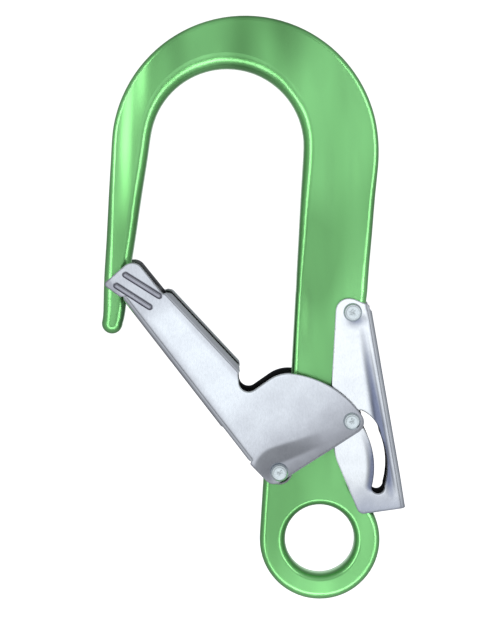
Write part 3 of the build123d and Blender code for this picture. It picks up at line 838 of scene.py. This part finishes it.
def turned(name, centre, rings, seed):
    """Closed lathe shape about a line along Y, from (radius, y) rings; marked tops are at its widest y."""
    shape = bmesh.new()
    loops = []
    for radius, y in rings:
        if radius < 1e-6:
            loops.append([shape.verts.new((centre[0], y, centre[1]))])
            continue
        loop = []
        for i in range(SIDES):
            turn = 2 * math.pi * i / SIDES
            x, z = radius * math.cos(turn), radius * math.sin(turn)
            loop.append(shape.verts.new((centre[0] + x, y, centre[1] + z)))
        loops.append(loop)
    top = max(abs(y) for _, y in rings)
    widest = max(radius for radius, _ in rings)
    for first, second in zip(loops, loops[1:]):
        for i in range(SIDES):
            a, b = first[i % len(first)], first[(i + 1) % len(first)]
            c, d = second[(i + 1) % len(second)], second[i % len(second)]
            corners = list(dict.fromkeys((a, b, c, d)))
            if len(corners) > 2:
                shape.faces.new(corners)
    for vertex in shape.verts:
        if abs(abs(vertex.co.y) - top) < 1e-6:
            side = math.copysign(1, vertex.co.y)
            x, z = vertex.co.x - centre[0], vertex.co.z - centre[1]
            fade = 1 - smooth((math.hypot(x, z) - widest + HEAD_BEVEL + 0.7) / 0.6)
            vertex.co.y -= side * (DENT_DEPTH + dents(x, z, widest, seed)) * fade
    bmesh.ops.recalc_face_normals(shape, faces=shape.faces)
    for vertex in shape.verts:
        vertex.co *= MM
    mesh = bpy.data.meshes.new(name)
    shape.to_mesh(mesh)
    shape.free()
    return shown(name, mesh)


def through_rivet(name, node, centre, shaft_r, seed):
    low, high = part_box(node)
    radius = (high.x - low.x) / 2 / MM
    outer = high.y / MM
    front = [(r, -y) for r, y in head_profile(radius, outer - HEAD_HEIGHT, outer)]
    rear = [(r, y) for r, y in reversed(head_profile(radius, outer - HEAD_HEIGHT, outer))]
    shaft = [(shaft_r, -(outer - HEAD_HEIGHT)), (shaft_r, outer - HEAD_HEIGHT)]
    return turned(name, centre, front + shaft + rear, seed)


def headed_stud(name, node, centre, shaft_r, seed):
    low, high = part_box(node)
    side = math.copysign(1, low.y + high.y)
    radius = (high.x - low.x) / 2 / MM
    outer = max(abs(low.y), abs(high.y)) / MM
    inner = min(abs(low.y), abs(high.y)) / MM
    rings = head_profile(radius, outer - HEAD_HEIGHT, outer)
    rings += [(shaft_r, outer - HEAD_HEIGHT), (shaft_r, inner), (0, inner)]
    return turned(name, centre, [(r, side * y) for r, y in rings], seed)


# Places along Y between each spring's two legs
GATE_WIND = (7.36, 8.2)
LEVER_WIND = 1.31


def wound_spring(name, node, moving_body, start_y, end_y):
    """The spring's own wire, copied from its CAD mesh as it stands; the moving body and the two ends along Y
    are not used.
    """
    piece = shown(name, frame["nodes"][node].data.copy())
    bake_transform(piece)
    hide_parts(node)
    return piece


def settle(piece, body, node):
    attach(piece, body)
    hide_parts(node)
    return piece


rivets = [
    settle(through_rivet("gate_rivet", "gate_pivot_rivet", GATE_PIVOT, GATE_SHAFT_R, 0.3),
           "gate_arm", "gate_pivot_rivet"),
    settle(through_rivet("lever_rivet", "lock_pivot_rivet", LOCK_PIVOT, LOCK_SHAFT_R, 2.1),
           "locking_lever", "lock_pivot_rivet"),
    settle(headed_stud("locking_stud_front", "lock_stud_front", LOCK_PIN, PIN_SHAFT_R, 4.4),
           "gate_arm", "lock_stud_front"),
    settle(headed_stud("locking_stud_rear", "lock_stud_rear", LOCK_PIN, PIN_SHAFT_R, 5.9),
           "gate_arm", "lock_stud_rear"),
]
springs = [
    wound_spring("gate_coil_front", "gate_spring_front", "gate_arm", -GATE_WIND[0], -GATE_WIND[1]),
    wound_spring("gate_coil_rear", "gate_spring_rear", "gate_arm", *GATE_WIND),
    wound_spring("lever_coil", "lock_spring", "locking_lever", -LEVER_WIND, LEVER_WIND),
]


# ---------------------------------------------------------------- finishes

def material(name, colour, metallic, roughness):
    made = bpy.data.materials.new(name)
    made.use_nodes = True
    surface = made.node_tree.nodes["Principled BSDF"]
    surface.inputs["Base Color"].default_value = (*colour, 1)
    surface.inputs["Metallic"].default_value = metallic
    surface.inputs["Roughness"].default_value = roughness
    return made, made.node_tree.nodes, made.node_tree.links, surface


def noise(nodes, links, scale, detail=3.0, stretch=(1, 1, 1)):
    """Noise over the object's own coordinates; scale is in features per metre."""
    place = nodes.new("ShaderNodeTexCoord")
    mapping = nodes.new("ShaderNodeMapping")
    mapping.inputs["Scale"].default_value = stretch
    texture = nodes.new("ShaderNodeTexNoise")
    texture.inputs["Scale"].default_value = scale
    texture.inputs["Detail"].default_value = detail
    links.new(place.outputs["Object"], mapping.inputs["Vector"])
    links.new(mapping.outputs["Vector"], texture.inputs["Vector"])
    return texture.outputs["Fac"]


def spread(nodes, links, value, low, high, low_to=0.0, high_to=1.0):
    ranged = nodes.new("ShaderNodeMapRange")
    ranged.inputs["From Min"].default_value = low
    ranged.inputs["From Max"].default_value = high
    ranged.inputs["To Min"].default_value = low_to
    ranged.inputs["To Max"].default_value = high_to
    links.new(value, ranged.inputs["Value"])
    return ranged.outputs["Result"]


def mixed(nodes, links, factor, first, second):
    mix = nodes.new("ShaderNodeMix")
    mix.data_type = "RGBA"
    mix.inputs["A"].default_value = (*first, 1)
    mix.inputs["B"].default_value = (*second, 1)
    links.new(factor, mix.inputs["Factor"])
    return mix.outputs["Result"]


def bump(nodes, links, surface, height, distance, strength=1.0):
    relief = nodes.new("ShaderNodeBump")
    relief.inputs["Distance"].default_value = distance
    relief.inputs["Strength"].default_value = strength
    links.new(height, relief.inputs["Height"])
    links.new(relief.outputs["Normal"], surface.inputs["Normal"])


def anodised():
    made, nodes, links, surface = material("anodised_green", (0.21, 0.62, 0.20), 1.0, 0.34)
    # Random mottling of the green in soft streaks, partly painted reflection: its lighter patches stand in
    # for soft highlights on the forging
    painted_shading = spread(nodes, links, noise(nodes, links, 24.0, 1.0, stretch=(1.7, 1.0, 0.5)), 0.38, 0.62)
    tints = (0.16, 0.49, 0.15), (0.27, 0.76, 0.26)
    links.new(mixed(nodes, links, painted_shading, *tints), surface.inputs["Base Color"])
    grain = noise(nodes, links, 5200.0, 2.0)
    links.new(spread(nodes, links, grain, 0.3, 0.7, 0.29, 0.36), surface.inputs["Roughness"])
    surface.inputs["Coat Weight"].default_value = 0.8
    surface.inputs["Coat Roughness"].default_value = 0.2
    swell = noise(nodes, links, 26.0, 1.0, stretch=(2.0, 1.0, 0.6))
    bump(nodes, links, surface, swell, 0.006, 0.6)
    return made


def satin_sheet(name, light, dark, roughness):
    """Zinc on sheet steel; the mesh's own painted-shade value turns it from light to dark, which paints shade
    onto it, with a little mottling.
    """
    made, nodes, links, surface = material(name, light, 1.0, roughness)
    drawn = nodes.new("ShaderNodeAttribute")
    drawn.attribute_name = "painted_shading"
    mottle = spread(nodes, links, noise(nodes, links, 90.0, 3.0), 0.36, 0.64, -0.05, 0.07)
    total = nodes.new("ShaderNodeMath")
    total.operation = "ADD"
    total.use_clamp = True
    links.new(drawn.outputs["Fac"], total.inputs[0])
    links.new(mottle, total.inputs[1])
    links.new(mixed(nodes, links, total.outputs[0], light, dark), surface.inputs["Base Color"])
    brushed = noise(nodes, links, 2600.0, 3.0, stretch=(1.0, 1.0, 0.35))
    links.new(spread(nodes, links, brushed, 0.3, 0.7, roughness - 0.03, roughness + 0.04),
              surface.inputs["Roughness"])
    bump(nodes, links, surface, noise(nodes, links, 60.0, 2.0), 0.0004, 0.35)
    return made


def steel(name, colour, roughness):
    made, nodes, links, surface = material(name, colour, 1.0, roughness)
    grain = noise(nodes, links, 3800.0, 3.0)
    links.new(spread(nodes, links, grain, 0.3, 0.7, roughness - 0.06, roughness + 0.08),
              surface.inputs["Roughness"])
    darker = tuple(c * 0.86 for c in colour)
    links.new(mixed(nodes, links, spread(nodes, links, grain, 0.3, 0.7), darker, colour),
              surface.inputs["Base Color"])
    bump(nodes, links, surface, grain, 0.00004, 0.5)
    return made


def dress(piece, *finishes):
    # Clearing also forgets which faces take the second finish, so it's only done where there is something
    if piece.data.materials:
        piece.data.materials.clear()
    for finish in finishes:
        piece.data.materials.append(finish)


green = anodised()
# The dark colour of each zinc finish is painted shade, mixed in by the painted-shade value; the inside finish
# is near black, painted shade for the channels' insides
gate_finish = satin_sheet("zinc_sheet_gate", (0.86, 0.91, 0.96), (0.27, 0.27, 0.32), 0.20)
lever_finish = satin_sheet("zinc_sheet_lever", (0.93, 0.97, 1.00), (0.22, 0.25, 0.36), 0.19)
painted_inside_shade = satin_sheet("zinc_sheet_inside_painted_shade", (0.46, 0.46, 0.49), (0.035, 0.035, 0.04), 0.42)
rivet_finish = steel("rivet_zinc", (0.84, 0.93, 0.96), 0.24)
bush_finish = steel("bush_turned", (0.56, 0.56, 0.57), 0.32)
wire_finish = steel("spring_wire", (0.42, 0.42, 0.44), 0.30)

dress(frame["nodes"]["hook_body"], green)
dress(gate_piece, gate_finish, painted_inside_shade)
dress(lever_piece, lever_finish, painted_inside_shade)
for piece in rivets:
    dress(piece, rivet_finish)
for piece in springs:
    dress(piece, wire_finish)
for node in ("gate_bush_front", "gate_bush_rear"):
    dress(frame["nodes"][node], bush_finish)


# ---------------------------------------------------------------- stage, light and camera

FLOOR_BELOW = 0.09
STAGE_HALF = 1.6
FLOOR_STEPS = 8
FLOOR_GLOW = 0.9

# The tent's light by angle from its front axis: (degrees, brightness)
TENT_AXIS_DROP = math.radians(2.5)
TENT_RINGS = (
    (0, 1.28),
    (9, 1.12),
    (18, 0.42),
    (25, 0.32),
    (34, 0.60),
    (46, 0.80),
    (60, 0.60),
    (76, 0.48),
    (98, 0.46),
    (112, 0.30),
    (132, 0.24),
    (148, 0.50),
    (165, 0.90),
    (180, 0.95),
)
TENT_PEAK = 1.28
TENT_COLOUR = (0.95, 0.97, 1.0)
ABOVE_SHARE = 0.85
BACKDROP = 1.1

# Each strip light: name, direction from the hook, distance, size, and how bright its face is
STRIPS = (
    ("left_strip", (-0.62, -0.78, 0.0), 1.0, (0.24, 1.0), 3.4),
    ("right_strip", (0.62, -0.78, 0.0), 1.0, (0.24, 1.0), 3.4),
    ("low_strip", (0.0, -0.78, -0.62), 0.9, (1.0, 0.22), 3.2),
)

# The camera: metres, with its place across and up as shares of the CAD's box
CAMERA_DISTANCE = 0.89
CAMERA_ACROSS = 0.458
CAMERA_UP = 0.839
CAMERA_AIM = (-0.02926, 0, 0.13481)
CAMERA_LENS = 122.6
CAMERA_SHIFT = -0.15


def floor_stage():
    """Plain pale floor a little below the hook."""
    floor_z = cad_box[0].z - FLOOR_BELOW
    shape = bmesh.new()
    bmesh.ops.create_grid(shape, x_segments=FLOOR_STEPS, y_segments=FLOOR_STEPS, size=STAGE_HALF)
    mesh = bpy.data.meshes.new("floor")
    shape.to_mesh(mesh)
    shape.free()
    floor = shown("floor", mesh)
    floor.location.z = floor_z
    floor.visible_glossy = False
    made, _, _, surface = material("floor_white", (0.85, 0.85, 0.85), 0.0, 0.9)
    surface.inputs["Emission Color"].default_value = (1, 1, 1, 1)
    surface.inputs["Emission Strength"].default_value = FLOOR_GLOW
    dress(floor, made)


def multiplied(nodes, links, first, second):
    product = nodes.new("ShaderNodeMath")
    product.operation = "MULTIPLY"
    links.new(first, product.inputs[0])
    if isinstance(second, float):
        product.inputs[1].default_value = second
    else:
        links.new(second, product.inputs[1])
    return product.outputs[0]


def studio_world():
    """Soft tent round the hook, by angle from the front: bright, darker, paler, darker, bright behind."""
    world = bpy.data.worlds.new("studio")
    world.use_nodes = True
    nodes, links = world.node_tree.nodes, world.node_tree.links
    backdrop = nodes["Background"]
    backdrop.inputs["Color"].default_value = (1, 1, 1, 1)
    backdrop.inputs["Strength"].default_value = BACKDROP
    tent = nodes.new("ShaderNodeBackground")
    place = nodes.new("ShaderNodeTexCoord")
    parts = nodes.new("ShaderNodeSeparateXYZ")
    links.new(place.outputs["Generated"], parts.inputs["Vector"])
    facing = nodes.new("ShaderNodeVectorMath")
    facing.operation = "DOT_PRODUCT"
    facing.inputs[1].default_value = (0, -math.cos(TENT_AXIS_DROP), -math.sin(TENT_AXIS_DROP))
    links.new(place.outputs["Generated"], facing.inputs[0])
    angle_off = nodes.new("ShaderNodeMath")
    angle_off.operation = "ARCCOSINE"
    links.new(facing.outputs["Value"], angle_off.inputs[0])
    half_turns = multiplied(nodes, links, angle_off.outputs[0], 1 / math.pi)
    rings = nodes.new("ShaderNodeValToRGB")
    rings.color_ramp.interpolation = "LINEAR"
    levels = rings.color_ramp.elements
    levels[1].position = 1.0
    for angle, level in TENT_RINGS:
        ends = {0: levels[0], 180: levels[len(levels) - 1]}
        mark = ends[angle] if angle in ends else levels.new(angle / 180)
        mark.color = (level / TENT_PEAK,) * 3 + (1,)
    links.new(half_turns, rings.inputs["Fac"])
    above = spread(nodes, links, parts.outputs["Z"], 0.0, 0.5, 1.0, ABOVE_SHARE)
    strength = multiplied(nodes, links, rings.outputs["Color"], above)
    strength = multiplied(nodes, links, strength, TENT_PEAK)
    tent.inputs["Color"].default_value = (*TENT_COLOUR, 1)
    links.new(strength, tent.inputs["Strength"])
    seen = nodes.new("ShaderNodeLightPath")
    mix = nodes.new("ShaderNodeMixShader")
    links.new(seen.outputs["Is Camera Ray"], mix.inputs["Fac"])
    links.new(tent.outputs[0], mix.inputs[1])
    links.new(backdrop.outputs[0], mix.inputs[2])
    links.new(mix.outputs[0], nodes["World Output"].inputs["Surface"])
    bpy.context.scene.world = world


def softbox(name, direction, distance, size, radiance, receivers):
    """A rectangular light that looks at the hook; its power follows from how bright its face is to be."""
    lamp = bpy.data.lights.new(name, "AREA")
    lamp.shape = "RECTANGLE"
    lamp.size, lamp.size_y = size
    lamp.energy = radiance * math.pi * size[0] * size[1]
    holder = bpy.data.objects.new(name, lamp)
    holder.location = centre + Vector(unit(direction)) * distance
    holder.rotation_euler = (centre - holder.location).to_track_quat("-Z", "Y").to_euler()
    bpy.context.scene.collection.objects.link(holder)
    holder.light_linking.receiver_collection = receivers


def forging_only():
    """The strips light only the forging, and draw lines along its rims; the sheets would only glare."""
    receivers = bpy.data.collections.new("forging_only")
    receivers.objects.link(frame["nodes"]["hook_body"])
    return receivers


def photo_camera():
    """Camera in front of the hook's upper half, looking slightly down at it."""
    low, high = cad_box
    across = low.x + CAMERA_ACROSS * (high.x - low.x)
    eye = Vector((across, -CAMERA_DISTANCE, low.z + CAMERA_UP * (high.z - low.z)))
    lens = bpy.data.cameras.new("camera")
    lens.sensor_width = 36.0
    lens.lens = CAMERA_LENS
    lens.shift_y = CAMERA_SHIFT
    camera = bpy.data.objects.new("camera", lens)
    camera.location = eye
    camera.rotation_euler = (Vector(CAMERA_AIM) - eye).to_track_quat("-Z", "Y").to_euler()
    bpy.context.scene.collection.objects.link(camera)
    bpy.context.scene.camera = camera


floor_stage()
studio_world()
centre = (cad_box[0] + cad_box[1]) / 2
receivers = forging_only()
for strip in STRIPS:
    softbox(*strip, receivers)
bpy.context.scene.view_settings.view_transform = "Standard"
photo_camera()
